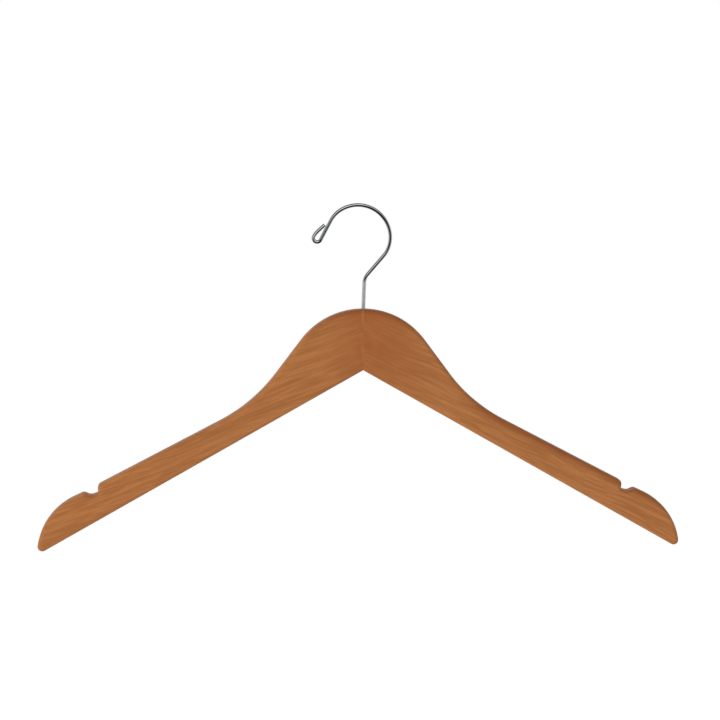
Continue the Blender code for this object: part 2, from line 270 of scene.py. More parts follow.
def runs_and_bends(corners, radii, start_cut):
    """(length, turn) of each straight run and bend of a line through corners that are rounded.

    A corner's arc of radius r through turn t begins r * tan(t / 2) before the corner and is r * t long.
    """
    legs = np.diff(corners, axis=0)
    headings = np.arctan2(legs[:, 1], legs[:, 0])
    turns = (np.diff(headings) + pi) % (2 * pi) - pi
    cuts = np.abs(radii * np.tan(turns / 2))
    runs = np.hypot(*legs.T) - np.append(start_cut, cuts) - np.append(cuts, 0)
    bends = np.stack([radii * np.abs(turns), turns], 1)
    straights = np.stack([runs, np.zeros(len(runs))], 1)
    return [straights[0], *np.stack([bends, straights[1:]], 1).reshape(-1, 2)]


def curved_line(start, heading, pieces, spacing):
    """Points and headings along a line of straight runs and round bends, each (length, turn).

    Heading grows evenly with length, so a step of length s that turns by t has a chord of
    s * sin(t / 2) / (t / 2) towards its mean heading, and the points are the sums of the chords.
    """
    pieces = np.array([piece for piece in pieces if piece[0] > 0])
    counts = np.ceil(np.maximum(pieces[:, 0] / spacing, np.abs(pieces[:, 1]) / ARC_STEP)).astype(int)
    lengths = np.repeat(pieces[:, 0] / counts, counts)
    turns = np.repeat(pieces[:, 1] / counts, counts)
    headings = heading + np.append(0, np.cumsum(turns))
    middle = headings[:-1] + turns / 2
    chords = lengths * np.sinc(turns / (2 * pi))
    steps = chords[:, None] * np.stack([np.cos(middle), np.sin(middle)], 1)
    points = start + np.concatenate([np.zeros((1, 2)), np.cumsum(steps, axis=0)])
    return points, headings


def ring_faces(columns, around, flip):
    """Quads of a grid of columns whose points run round a closed ring."""
    first = np.arange(columns - 1)[:, None] * around + np.arange(around)
    second = np.arange(columns - 1)[:, None] * around + (np.arange(around) + 1) % around
    faces = np.stack([first, second, second + around, first + around], -1).reshape(-1, 4)
    return faces[:, ::-1] if flip else faces


def tube_object(name, rings, flip, material):
    """Closed object from an array of rings (columns, around, 3), with a flat cap at each end."""
    columns, around, _ = rings.shape
    faces = ring_faces(columns, around, flip).tolist()
    start = np.arange(around)[:: 1 if flip else -1]
    end = (columns - 1) * around + start[::-1]
    mesh = bpy.data.meshes.new(name)
    mesh.from_pydata(rings.reshape(-1, 3), [], [*faces, start.tolist(), end.tolist()])
    mesh.validate()
    bm = bmesh.new()
    bm.from_mesh(mesh)
    bmesh.ops.remove_doubles(bm, verts=bm.verts, dist=WELD_DISTANCE)
    bm.to_mesh(mesh)
    bm.free()
    mesh.materials.append(material)
    obj = bpy.data.objects.new(name, mesh)
    bpy.context.scene.collection.objects.link(obj)
    return obj


def smooth(mesh):
    mesh.shade_smooth()
    mesh.set_sharp_from_angle(angle=SHARP_ANGLE)


def turned_cutter(name, profile, axis="Z"):
    """Solid turned about Z or X: a profile of (radius, height) carried round a circle."""
    profile = np.array(profile)
    turn = np.linspace(0, 2 * pi, CUTTER_SIDES, endpoint=False)
    radius, height = profile[:, :1], profile[:, 1:]
    ones = np.ones_like(turn)
    rings = np.stack([radius * np.cos(turn), radius * np.sin(turn), height * ones], -1)
    if axis == "X":
        rings = rings[..., [2, 0, 1]]
    return tube_object(name, rings, False, None)


def cut(obj, cutters):
    """Cuts away the cutters and removes them, leaving plain mesh."""
    for cutter in cutters:
        boolean = obj.modifiers.new(cutter.name, "BOOLEAN")
        boolean.operation = "DIFFERENCE"
        boolean.solver = "EXACT"
        boolean.object = cutter
    evaluated = obj.evaluated_get(bpy.context.evaluated_depsgraph_get())
    mesh = bpy.data.meshes.new_from_object(evaluated)
    obj.modifiers.clear()
    obj.data = mesh
    for cutter in cutters:
        bpy.data.objects.remove(cutter)


# Wooden arms


def board_line(board):
    """Outline of the right half from the crown to the apex, and how far the nose's pole is along it.

    The corners are measured from the apex. The line bends by each corner's own radius, and the swell
    has the largest radius that fits between the lip and the nose.
    """
    notch_x = board.width / 2 - board.notch_from_tip
    underside = -notch_x * tan(board.underside_slope)
    rise = board.crown_radius * (1 / cos(board.neck_slope) - 1)
    crown = np.array([0, board.crown_height + rise])
    shoulder = np.array([notch_x, underside + board.shoulder_depth])
    neck = meet(crown, -board.neck_slope, shoulder, -board.shoulder_slope)
    root = shoulder + (-board.notch_undercut, -board.notch_depth)
    floor = root + (board.floor_reach, -board.floor_drop)
    lip = shoulder + (board.notch_width, -board.lip_drop)
    radius = board.corner_radius
    nose_x = board.width / 2 - radius
    nose_z = radius / cos(board.underside_slope) - nose_x * tan(board.underside_slope)
    out = np.array([sin(board.tip_slope), cos(board.tip_slope)])
    touch = np.array([nose_x, nose_z]) + radius * out
    swell = meet(lip, -board.lip_slope, touch, -board.tip_slope)
    apex = np.zeros(2)
    tip = meet(touch, -board.tip_slope, apex, -board.underside_slope)

    rising = atan2(*(lip - floor)[::-1])
    lip_run = np.hypot(*(swell - lip)) - radius * tan((rising + board.lip_slope) / 2)
    swell_run = min(lip_run, np.hypot(*(touch - swell)))
    swell_radius = swell_run / tan((board.tip_slope - board.lip_slope) / 2)

    corners = np.array([crown, neck, shoulder, root, floor, lip, swell, tip, apex])
    radii = np.array(
        [board.neck_radius, radius, board.notch_root, board.floor_radius, radius, swell_radius, radius]
    )
    pieces = runs_and_bends(corners, radii, board.crown_radius * tan(board.neck_slope))
    crown_bend = (board.crown_radius * board.neck_slope, -board.neck_slope)
    nose, last_run = pieces[-2:]
    over = nose[1] + pi / 2  # the rest of the nose's turn, past its outermost point, is a quarter turn
    upper = [crown_bend, *pieces[:-2], (radius * abs(over), over)]
    return upper, last_run[0]


def outward(headings):
    """Unit vectors to the left of the headings, away from the wood."""
    return np.stack([-np.sin(headings), np.cos(headings)], -1)


def edge_band(board):
    """Inset, height and tilt across an edge, from the front face over the rim to the back face.

    A quarter circle of radius r has inset r * (1 - sin a) and stands r * cos a proud of the rim's flat.
    """
    turn = np.linspace(0, pi / 2, ROUNDING_STEPS + 1)
    flat = board.thickness / 2 - board.rounding
    inset = board.rounding * (1 - np.sin(turn))
    height = flat + board.rounding * np.cos(turn)
    support = np.array([board.rounding + SUPPORT_WIDTH])
    inset = np.concatenate([support, inset, [0], inset[::-1], support])
    height = np.concatenate([[-board.thickness / 2], -height, [0], height[::-1], [board.thickness / 2]])
    tilt = np.concatenate([[0], turn, [pi / 2], turn[::-1], [0]])
    return inset, height, tilt


def arm_rings(board):
    """Right arm as rings round its section, from the seam to the nose, in metres from the apex.

    Column u joins the point T(u) of the upper outline to the point B(u) of the underside, which lies
    squarely below it, except that the columns fan out to the upright seam and to the nose's pole, by
    amounts that fall off exponentially away from them. Each ring runs up the front face on the straight
    line from B to T, over the upper edge's band, down the back face and under the lower edge's band. A
    band's point is the outline's point moved in by the band's inset.
    """
    upper, underside_run = board_line(board)
    start = np.array([0, board.crown_height])
    top, headings = curved_line(start, 0.0, upper, BOARD_SPACING)
    top_out = outward(headings)
    columns = len(top)

    pole_heading = headings[-1]
    quarter = (board.corner_radius * pi / 2, -pi / 2)
    nose, nose_headings = curved_line(top[-1], pole_heading, [quarter], BOARD_SPACING)
    nose_columns = len(nose) - 1
    along = heading_vector(-board.underside_slope)
    inset, height, tilt = edge_band(board)
    upper_band = top[:, None] - top_out[:, None] * inset[None, :, None]
    reach = upper_band[: columns - nose_columns, 0] @ along
    foot = reach - reach[0] * np.exp((reach[0] - reach) / FAN_AT_SEAM)
    foot += (nose[-1] @ along - foot[-1]) * np.exp((reach - reach[-1]) / FAN_AT_NOSE)
    share = ((foot - foot[0]) / (foot[-1] - foot[0]))[:, None]
    bottom = np.concatenate([share * nose[-1], nose[-2::-1]])
    bottom_out = outward(np.concatenate([np.full(len(share), nose_headings[-1]), nose_headings[-2::-1]]))

    lower_band = bottom[:, None] - bottom_out[:, None] * inset[None, :, None]

    # Every row of the lower band starts in the plane of the seam.
    first = board.seam_gap + board.arris
    shift = (first - lower_band[0, :, 0]) / along[0]
    weight = np.zeros(columns)
    weight[: len(share)] = 1 - share[:, 0]
    lower_band += weight[:, None, None] * shift[None, :, None] * along
    upper_band[0, :, 0] = first

    rows = (np.arange(SHEET_ROWS) + 1) / (SHEET_ROWS + 1)
    front = lower_band[:, :1] + (upper_band[:, :1] - lower_band[:, :1]) * rows[None, :, None]
    back = upper_band[:, -1:] + (lower_band[:, -1:] - upper_band[:, -1:]) * rows[None, :, None]
    plane = np.concatenate([front, upper_band, back, lower_band[:, ::-1]], 1)
    face = np.full(SHEET_ROWS, board.thickness / 2)
    depth = np.concatenate([-face, height, face, height[::-1]])
    rings = np.stack([plane[..., 0], np.broadcast_to(depth, plane.shape[:2]), plane[..., 1]], -1)

    # The arris at the seam: the first ring again, drawn in along its normals.
    level = np.zeros(SHEET_ROWS)
    lean = np.concatenate([level, np.sin(tilt), level, np.sin(tilt)])
    rise = np.concatenate([level, np.sin(tilt), level, -np.sin(tilt)])
    side = np.sign(depth) * np.sqrt(1 - lean**2)
    edge = rings[0] - board.arris * np.stack([np.zeros_like(side), side, rise], -1)
    edge[:, 0] = board.seam_gap
    return np.concatenate([edge[None], rings])


def apex_height(board):
    """Height of the point where the two undersides meet."""
    return -board.crown_z - board.crown_height


def bore_cutter(board, wire):
    """Hole, chamfered mouth and head pocket: a profile of radii and heights turned about the seam."""
    bore = wire / 2 + board.bore_clearance
    top = -board.crown_z
    pocket_top = WASHER_HIGH.z + FIT_GAP
    pocket_bottom = HOOK_LOW.z - FIT_GAP
    pocket = WASHER_HIGH.x + FIT_GAP
    return turned_cutter(
        "bore_cutter",
        [
            (pocket, pocket_bottom),
            (pocket, pocket_top),
            (bore, pocket_top),
            (bore, top - board.bore_chamfer),
            (bore + 2 * board.bore_chamfer, top + board.bore_chamfer),
        ],
    )


def dowel_cutters():
    """Holes for the dowels, each its dowel's size plus the gap, turned about X."""
    cutters = []
    for low, high in DOWELS:
        radius = (high.y - low.y) / 2 + FIT_GAP
        end = high.x + FIT_GAP
        cutter = turned_cutter("dowel_cutter", [(radius, -end), (radius, end)], "X")
        cutter.data.transform(Matrix.Translation((0, 0, (low.z + high.z) / 2)))
        cutters.append(cutter)
    return cutters


def make_arm(name, side):
    """One arm, side 1 for the right and -1 for the left, which is the right one mirrored in X."""
    board = settings("hanger_board")
    rings = arm_rings(board) * (side, 1, 1) + (0, 0, apex_height(board))
    arm = tube_object(f"{name}_wooden_arm", rings, side > 0, lacquered_maple(side))
    cut(arm, [bore_cutter(board, settings("hanger_hook").wire), *dowel_cutters()])
    smooth(arm.data)
    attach(arm, "wooden_arms")
    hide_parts(f"{name}_arm")


# Wire hook


def hook_line(hook, crown_z):
    """Centre line of the hook above the wood, its headings, and where along it the eye begins."""
    before_eye = [
        (hook.lean_radius * hook.lean, -hook.lean),
        (hook.stem, 0),
        (hook.knee_radius * hook.knee_turn, -hook.knee_turn),
        (hook.shank, 0),
        (hook.entry_radius * hook.entry_turn, hook.entry_turn),
        (hook.crook_radius * hook.crook_turn, hook.crook_turn),
        (hook.exit_radius * hook.exit_turn, hook.exit_turn),
        (hook.point, 0),
    ]
    eye_radius = hook.eye_hole + hook.wire / 2
    eye = [
        (eye_radius * pi, -pi),
        (hook.closing_radius * hook.closing_turn, -hook.closing_turn),
        (hook.eye_return, 0),
    ]
    down, headings = curved_line(np.array([0, -crown_z]), pi / 2, before_eye, WIRE_SPACING)
    round_eye, eye_headings = curved_line(down[-1], headings[-1], eye, WIRE_SPACING)
    line = np.concatenate([down, round_eye[1:]])
    return line, np.concatenate([headings, eye_headings[1:]]), len(down) - 1


def hook_rings(hook, crown_z):
    """The wire as rings: a circle of the wire's radius carried along its centre line.

    The circle's axes are the line's normal in its plane and the cross product of the line's direction
    with it. The eye moves back evenly along its length, to close behind the wire. The head is a
    rounded disc on the same line, and the sheared end is drawn in by its softened edge.
    """
    line, headings, eye_start = hook_line(hook, crown_z)
    run = np.append(0, np.cumsum(np.hypot(*np.diff(line, axis=0).T)))
    towards = heading_vector(headings[eye_start])
    ending = line[-1] - line[eye_start]
    aside = abs(towards[0] * ending[1] - towards[1] * ending[0])
    set_back = sqrt(max(0.0, (hook.wire + hook.eye_gap) ** 2 - aside**2))
    eye_run = np.clip(run - run[eye_start], 0, None)
    eye_slope = set_back / eye_run[-1]

    radius = hook.wire / 2
    head, corner = hook.head / 2, hook.head_thickness / 4
    turn = np.linspace(0, pi / 2, HEAD_STEPS + 1)
    head_top = WASHER_LOW.z - FIT_GAP
    head_bottom = head_top - hook.head_thickness
    head_z = np.concatenate(
        [head_bottom + corner * (1 - np.cos(turn)), head_top - corner * (1 - np.sin(turn)), [head_top]]
    )
    head_radius = np.concatenate(
        [head - corner * (1 - np.sin(turn)), head - corner * (1 - np.cos(turn)), [radius]]
    )
    in_wood = np.stack([np.zeros_like(head_z), np.zeros_like(head_z), head_z], 1)
    above = np.stack([line[:, 0], eye_slope * eye_run, line[:, 1]], 1)
    centre = np.concatenate([in_wood, above])
    radii = np.concatenate([head_radius, np.full(len(line), radius)])

    forward = np.stack([np.cos(headings), eye_slope * (eye_run > 0), np.sin(headings)], 1)
    forward /= np.linalg.norm(forward, axis=1)[:, None]
    forward = np.concatenate([np.tile([0.0, 0.0, 1.0], (len(head_z), 1)), forward])

    ends = np.sin(turn[1:])
    last = centre[-1] - forward[-1] * hook.cut_chamfer * (1 - ends[:, None])
    centre = np.concatenate([centre[:-1], last])
    radii = np.concatenate([radii[:-1], radius - hook.cut_chamfer * (1 - np.cos(turn[1:]))])
    forward = np.concatenate([forward[:-1], np.tile(forward[-1], (len(ends), 1))])

    across = np.cross(forward, [0.0, 1.0, 0.0])
    across /= np.linalg.norm(across, axis=1)[:, None]
    up = np.cross(across, forward)
    around = np.linspace(0, 2 * pi, WIRE_SIDES, endpoint=False)[None, :, None]
    circle = np.cos(around) * across[:, None] + np.sin(around) * up[:, None]
    return centre[:, None] + radii[:, None, None] * circle


def wire_coordinates(mesh, run):
    """UV map in metres: U runs along the wire and V round it, on to the full circle at the last side."""
    corner = np.empty(len(mesh.loops), np.int32)
    mesh.loops.foreach_get("vertex_index", corner)
    column, turn = corner // WIRE_SIDES, corner % WIRE_SIDES
    starts = np.empty(len(mesh.polygons), np.int32)
    sizes = np.empty(len(mesh.polygons), np.int32)
    mesh.polygons.foreach_get("loop_start", starts)
    mesh.polygons.foreach_get("loop_total", sizes)
    highest = np.repeat(np.maximum.reduceat(turn, starts), sizes)
    turn = np.where((highest == WIRE_SIDES - 1) & (turn == 0), WIRE_SIDES, turn)
    side = pi * settings("hanger_hook").wire / WIRE_SIDES
    places = np.stack([run[column], turn * side], 1)
    layer = mesh.uv_layers.new(name="wire")
    layer.data.foreach_set("uv", places.astype(np.float32).ravel())


def make_hook():
    hook = settings("hanger_hook")
    rings = hook_rings(hook, settings("hanger_board").crown_z)
    piece = tube_object("wire_hook", rings, True, chromed_wire())
    centre = rings.mean(axis=1)
    run = np.append(0, np.cumsum(np.linalg.norm(np.diff(centre, axis=0), axis=1)))
    wire_coordinates(piece.data, run)
    smooth(piece.data)
    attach(piece, "wire_hook")
    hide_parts("hook")


# Finishes


def add_node(tree, kind, inputs=None, output=0, **values):
    """Adds a node, sets its own values, sets or links its inputs by name or number, and returns an output."""
    node = tree.nodes.new(kind)
    for name, value in values.items():
        setattr(node, name, value)
    for name, value in (inputs or {}).items():
        if isinstance(value, bpy.types.NodeSocket):
            tree.links.new(value, node.inputs[name])
        else:
            node.inputs[name].default_value = value
    return node.outputs[output] if node.outputs else None


def new_material(name):
    """Empty node material with its tree."""
    material = bpy.data.materials.new(name)
    material.use_nodes = True
    material.node_tree.nodes.clear()
    return material, material.node_tree


def opaque(colour):
    """The colour with full alpha, as a colour socket takes it."""
    return (*colour, 1)


def grain(tree, place, along, across, detail, seed):
    """Streaks of wood grain from 0 to 1, that long and that wide in metres."""
    scale = (1 / along, 1 / across, 1 / across)
    offset = (seed, 3 * seed, 7 * seed)
    placed = add_node(tree, "ShaderNodeMapping", {"Vector": place, "Scale": scale, "Location": offset})
    texture = {"Vector": placed, "Scale": 1.0, "Detail": detail, "Roughness": 0.6}
    return add_node(tree, "ShaderNodeTexNoise", texture)


def grain_place(tree, coordinates, slope):
    """Coordinates with X along the grain, which wanders by a few millimetres over every 70 mm."""
    turn = {"Vector": coordinates, "Rotation": (0, slope, 0)}
    turned = add_node(tree, "ShaderNodeMapping", turn)
    sway = add_node(tree, "ShaderNodeTexNoise", {"Vector": turned, "Scale": 14.0, "Detail": 1.0}, "Color")
    centred = add_node(tree, "ShaderNodeVectorMath", {0: sway, 1: (0.5, 0.5, 0.5)}, operation="SUBTRACT")
    wander = {0: centred, 1: (0, 0.004, 0.010), 2: turned}
    return add_node(tree, "ShaderNodeVectorMath", wander, operation="MULTIPLY_ADD")


def grain_figure(tree, place, side):
    """The wood's figure: each kind of streak by its share, with its own places on each arm."""
    figure = 0.0
    for k, (along, across, detail, share) in enumerate(GRAIN_STREAKS):
        seed = 1.3 + 2.2 * k + side
        streaks = grain(tree, place, along, across, detail, seed)
        adding = {0: streaks, 1: share, 2: figure}
        figure = add_node(tree, "ShaderNodeMath", adding, operation="MULTIPLY_ADD")
    return figure


def seam_stain(tree, distance, clouds, side):
    """Share of redder stain, strongest round the seam, where the grain runs out to the surface."""
    at_seam, reach = (0.85, 0.050) if side > 0 else (0.80, 0.030)
    beyond = 0.12
    spread = {0: distance, 1: 0.001, 2: reach, 3: at_seam, 4: beyond}
    near = add_node(tree, "ShaderNodeMapRange", spread, **SMOOTHLY)
    patches = add_node(tree, "ShaderNodeMapRange", {0: clouds, 1: 0.3, 2: 0.6, 3: 0.6, 4: 1.0}, **SMOOTHLY)
    return add_node(tree, "ShaderNodeMath", {0: near, 1: patches}, operation="MULTIPLY")


def crown_painted_shade(tree, coordinates, board):
    """Share of painted shade on the crown's rounded top edge, where it faces up away from the light, fading
    down the crown's two sides.
    """
    share = 0.38
    up_from_centre = (0, 0, board.crown_z + board.crown_radius)
    from_centre = {0: coordinates, 1: (1, 0, 1), 2: up_from_centre}
    spoke = add_node(tree, "ShaderNodeVectorMath", from_centre, operation="MULTIPLY_ADD")
    radius = add_node(tree, "ShaderNodeVectorMath", {0: spoke}, "Value", operation="LENGTH")
    rim = board.crown_radius - board.rounding
    edge = {0: radius, 1: rim - 0.0002, 2: rim + 0.0008, 3: 0.0, 4: share}
    rounded = add_node(tree, "ShaderNodeMapRange", edge, **SMOOTHLY)
    height = add_node(tree, "ShaderNodeSeparateXYZ", {0: spoke}, "Z")
    top = {0: height, 1: 0.60 * board.crown_radius, 2: 0.90 * board.crown_radius}
    above = add_node(tree, "ShaderNodeMapRange", top, **SMOOTHLY)
    return add_node(tree, "ShaderNodeMath", {0: rounded, 1: above}, operation="MULTIPLY")


def shoulder_painted_shade(tree, coordinates, sideways, board):
    """Share of painted shade in a band along the top of the right shoulder, from the neck outwards, where the
    rounded edge faces away from the light.
    """
    share, starts, full = 0.55, 0.0070, 0.0015
    slope = board.shoulder_slope
    notch_x = board.width / 2 - board.notch_from_tip
    shoulder_z = apex_height(board) - notch_x * tan(board.underside_slope) + board.shoulder_depth
    edge = notch_x * sin(slope) + shoulder_z * cos(slope)
    level = {0: coordinates, 1: (sin(slope), 0, cos(slope))}
    reached = add_node(tree, "ShaderNodeVectorMath", level, "Value", operation="DOT_PRODUCT")
    under_edge = {0: reached, 1: edge - starts, 2: edge - full, 4: share}
    band = add_node(tree, "ShaderNodeMapRange", under_edge, **SMOOTHLY)
    past_neck = add_node(tree, "ShaderNodeMapRange", {0: sideways, 1: 0.060, 2: 0.085}, **SMOOTHLY)
    return add_node(tree, "ShaderNodeMath", {0: band, 1: past_neck}, operation="MULTIPLY")


def pale_strip(tree, distance, clouds):
    """Share of paler wood in a strip 1.5 mm wide beside the seam, broken along its length."""
    share = 0.30
    strip = add_node(
        tree, "ShaderNodeMapRange", {0: distance, 1: 0.0008, 2: 0.0022, 3: share, 4: 0.0}, **SMOOTHLY
    )
    gaps = add_node(tree, "ShaderNodeMapRange", {0: clouds, 1: 0.40, 2: 0.62}, **SMOOTHLY)
    return add_node(tree, "ShaderNodeMath", {0: strip, 1: gaps}, operation="MULTIPLY")


def lacquered_maple(side):
    """Maple in a honey-brown stain under satin lacquer: even, fine-grained wood with soft long streaks, short
    dark flecks and a thin clear film that gives a wide, quiet sheen. Painted shade darkens the crown's and
    the right shoulder's upper edges."""
    finish, board = settings("hanger_finish"), settings("hanger_board")
    name = "lacquered maple, right arm" if side > 0 else "lacquered maple, left arm"
    material, tree = new_material(name)
    coordinates = add_node(tree, "ShaderNodeTexCoord", output="Object")
    slope = finish.grain_slope_right if side > 0 else finish.grain_slope_left
    place = grain_place(tree, coordinates, -side * slope)
    figure = grain_figure(tree, place, side)
    lines = add_node(tree, "ShaderNodeMapRange", {0: figure, 1: 0.36, 2: 0.64}, **SMOOTHLY)

    # Clouds about 17 mm across
    clouds = add_node(tree, "ShaderNodeTexNoise", {"Vector": place, "Scale": 60.0, "Detail": 2.0})
    sideways = add_node(tree, "ShaderNodeSeparateXYZ", {0: coordinates}, "X")
    distance = add_node(tree, "ShaderNodeMath", {0: sideways}, operation="ABSOLUTE")
    # Painted shade on the crown's rounded top edge and, on the right arm, along the top of the shoulder
    edges = crown_painted_shade(tree, coordinates, board)
    if side > 0:
        shoulder = shoulder_painted_shade(tree, coordinates, sideways, board)
        edges = add_node(tree, "ShaderNodeMath", {0: edges, 1: shoulder}, operation="MAXIMUM")

    # Flecks 3 mm long and 0.35 mm wide, drawn coarser than maple's own so that they show
    flecks = grain(tree, place, 0.0032, 0.00035, 0.0, 8.9 + side)
    flecked = add_node(tree, "ShaderNodeMapRange", {0: flecks, 1: 0.66, 2: 0.76, 3: 0.0, 4: 0.25}, **SMOOTHLY)

    # Each layer lies over those before it: its share and its colour.
    layers = [
        (lines, finish.wood_dark),
        (seam_stain(tree, distance, clouds, side), finish.wood_warm),
        # Painted shade on the upper edges
        (edges, finish.wood_edge),
    ]
    if side < 0:
        layers.append((pale_strip(tree, distance, clouds), finish.wood_pale))
    layers.append((flecked, finish.wood_dark))
    colour = opaque(finish.wood)
    for share, tint in layers:
        shades = {0: share, 6: colour, 7: opaque(tint)}
        colour = add_node(tree, "ShaderNodeMix", shades, 2, data_type="RGBA")

    # Relief of 0.06 mm that the lacquer has mostly filled
    relief = add_node(tree, "ShaderNodeMath", {0: figure, 1: flecked}, operation="SUBTRACT")
    bump = add_node(tree, "ShaderNodeBump", {"Strength": 0.10, "Distance": 0.00006, "Height": relief})
    surface = {
        "Base Color": colour,
        "Roughness": finish.wood_roughness,
        "IOR": 1.5,
        "Specular IOR Level": 0.15,
        "Coat Weight": finish.lacquer,
        "Coat Roughness": finish.lacquer_roughness,
        "Normal": bump,
    }
    shader = add_node(tree, "ShaderNodeBsdfPrincipled", surface)
    add_node(tree, "ShaderNodeOutputMaterial", {"Surface": shader})
    return material


def chromed_wire():
    """Chrome over drawn steel wire: a near mirror, with faint die lines along it. The stem, where the wire
    was gripped as it was bent, is matt and takes an even grey."""
    finish = settings("hanger_finish")
    material, tree = new_material("chrome-plated drawn wire")
    # Die lines 0.1 mm apart and 12 mm long, drawn coarser than real ones so that they show
    places = add_node(tree, "ShaderNodeUVMap", uv_map="wire")
    lines = add_node(tree, "ShaderNodeMapping", {"Vector": places, "Scale": (80, 10000, 1)})
    drawn = add_node(tree, "ShaderNodeTexNoise", {"Vector": lines, "Scale": 1.0, "Detail": 2.0})
    coordinates = add_node(tree, "ShaderNodeTexCoord", output="Object")
    height = add_node(tree, "ShaderNodeSeparateXYZ", {0: coordinates}, "Z")
    knee = settings("hanger_hook").stem - settings("hanger_board").crown_z
    clear = knee + 0.003
    dullness = {0: height, 1: knee, 2: clear, 3: finish.stem_roughness, 4: finish.chrome_roughness}
    dull = add_node(tree, "ShaderNodeMapRange", dullness)
    rough = add_node(tree, "ShaderNodeMath", {0: drawn, 1: 0.04, 2: dull}, operation="MULTIPLY_ADD")
    brightness = {0: height, 1: knee, 2: clear, 3: finish.stem_mirror, 4: 1.0}
    mirror = add_node(tree, "ShaderNodeMapRange", brightness)
    bump = add_node(tree, "ShaderNodeBump", {"Strength": 0.08, "Distance": 0.00001, "Height": drawn})
    surface = {"Base Color": opaque(finish.chrome), "Metallic": mirror, "Roughness": rough, "Normal": bump}
    shader = add_node(tree, "ShaderNodeBsdfPrincipled", surface)
    add_node(tree, "ShaderNodeOutputMaterial", {"Surface": shader})
    return material


def zinc_steel():
    """Zinc-plated pressed steel: a soft grey metal with a fine, cloudy crystal bloom about 1 mm across."""
    finish = settings("hanger_finish")
    material, tree = new_material("zinc-plated pressed steel")
    place = add_node(tree, "ShaderNodeTexCoord", output="Object")
    bloom = add_node(tree, "ShaderNodeTexNoise", {"Vector": place, "Scale": 900.0, "Detail": 3.0})
    shades = {0: bloom, 6: opaque(finish.zinc), 7: opaque(finish.zinc_dark)}
    colour = add_node(tree, "ShaderNodeMix", shades, 2, data_type="RGBA")
    rough = add_node(tree, "ShaderNodeMapRange", {0: bloom, 1: 0.3, 2: 0.7, 3: 0.28, 4: 0.45})
    surface = {"Base Color": colour, "Metallic": 1.0, "Roughness": rough}
    shader = add_node(tree, "ShaderNodeBsdfPrincipled", surface)
    add_node(tree, "ShaderNodeOutputMaterial", {"Surface": shader})
    return material


def plain_beech():
    """Unfinished beech dowel rod: pale, dry wood with short brown ray flecks along its length."""
    finish = settings("hanger_finish")
    material, tree = new_material("turned beech dowel")
    place = add_node(tree, "ShaderNodeTexCoord", output="Object")
    flecks = grain(tree, place, 0.0022, 0.0003, 1.0, 4.0)
    streaks = grain(tree, place, 0.030, 0.0008, 2.0, 6.0)
    spots = add_node(tree, "ShaderNodeMapRange", {0: flecks, 1: 0.58, 2: 0.70, 3: 0.0, 4: 0.6})
    dark = add_node(tree, "ShaderNodeMath", {0: streaks, 1: 0.4, 2: spots}, operation="MULTIPLY_ADD")
    shades = {0: dark, 6: opaque(finish.beech), 7: opaque(finish.beech_dark)}
    colour = add_node(tree, "ShaderNodeMix", shades, 2, data_type="RGBA")
    bump = add_node(tree, "ShaderNodeBump", {"Strength": 0.3, "Distance": 0.00005, "Height": streaks})
    surface = {"Base Color": colour, "Roughness": 0.65, "Normal": bump}
    shader = add_node(tree, "ShaderNodeBsdfPrincipled", surface)
    add_node(tree, "ShaderNodeOutputMaterial", {"Surface": shader})
    return material


# Studio


def camera_frame(stage):
    """Camera's matrix: it looks at its target from its azimuth and elevation, turned by its roll."""
    a, e = stage.azimuth, stage.elevation
    back = Vector((sin(a) * cos(e), -cos(a) * cos(e), sin(e)))
    target = Vector((-stage.target_left, 0, -stage.target))
    place = Matrix.Translation(target + back * stage.distance)
    turn = (-back).to_track_quat("-Z", "Y").to_matrix().to_4x4()
    return place @ turn @ Matrix.Rotation(stage.roll, 4, "Z")


def make_camera(stage):
    data = bpy.data.cameras.new("camera")
    data.lens = stage.focal
    data.sensor_width = 36
    camera = bpy.data.objects.new("camera", data)
    camera.matrix_world = camera_frame(stage)
    bpy.context.scene.collection.objects.link(camera)
    bpy.context.scene.camera = camera


def make_lamp(name, place, target, width, height, watts):
    """Soft rectangular lamp that faces its target."""
    data = bpy.data.lights.new(name, "AREA")
    data.shape = "RECTANGLE"
    data.size = width
    data.size_y = height
    data.energy = watts
    lamp = bpy.data.objects.new(name, data)
    aim = Vector(target) - Vector(place)
    lamp.matrix_world = Matrix.Translation(place) @ aim.to_track_quat("-Z", "Y").to_matrix().to_4x4()
    lamp.visible_camera = False
    lamp.visible_glossy = False
    bpy.context.scene.collection.objects.link(lamp)


def make_floor(stage):
    """Round pale floor: rings of points at a radius and a turn, on one level."""
    innermost = 0.02
    radius = np.linspace(innermost, stage.floor_radius, FLOOR_RINGS)[:, None]
    turn = np.linspace(0, 2 * pi, FLOOR_SIDES, endpoint=False)[None]
    level = np.full((FLOOR_RINGS, FLOOR_SIDES), -stage.floor_depth)
    points = np.stack([radius * np.cos(turn), radius * np.sin(turn), level], -1)
    mesh = bpy.data.meshes.new("floor")
    faces = ring_faces(FLOOR_RINGS, FLOOR_SIDES, True).tolist()
    mesh.from_pydata(points.reshape(-1, 3), [], [*faces, list(range(FLOOR_SIDES))])
    floor = bpy.data.objects.new("floor", mesh)
    bpy.context.scene.collection.objects.link(floor)
    material, tree = new_material("lit white acrylic")
    surface = {
        "Base Color": opaque(linear("F2F2F0")),
        "Roughness": 0.6,
        "Emission Color": (1, 1, 1, 1),
        "Emission Strength": 1.0,
    }
    shader = add_node(tree, "ShaderNodeBsdfPrincipled", surface)
    add_node(tree, "ShaderNodeOutputMaterial", {"Surface": shader})
    mesh.materials.append(material)
    floor.visible_glossy = False
    floor.visible_diffuse = False


def lobe(tree, ray, glow):
    """Light from round a direction: full within one angle of it, falling smoothly to none at another."""
    direction, near, far, brightness = glow
    toward = {0: ray, 1: Vector(direction).normalized()}
    closeness = add_node(tree, "ShaderNodeVectorMath", toward, "Value", operation="DOT_PRODUCT")
    fall = {0: closeness, 1: cos(radians(far)), 2: cos(radians(near)), 3: 0.0, 4: brightness}
    return add_node(tree, "ShaderNodeMapRange", fall, **SMOOTHLY)


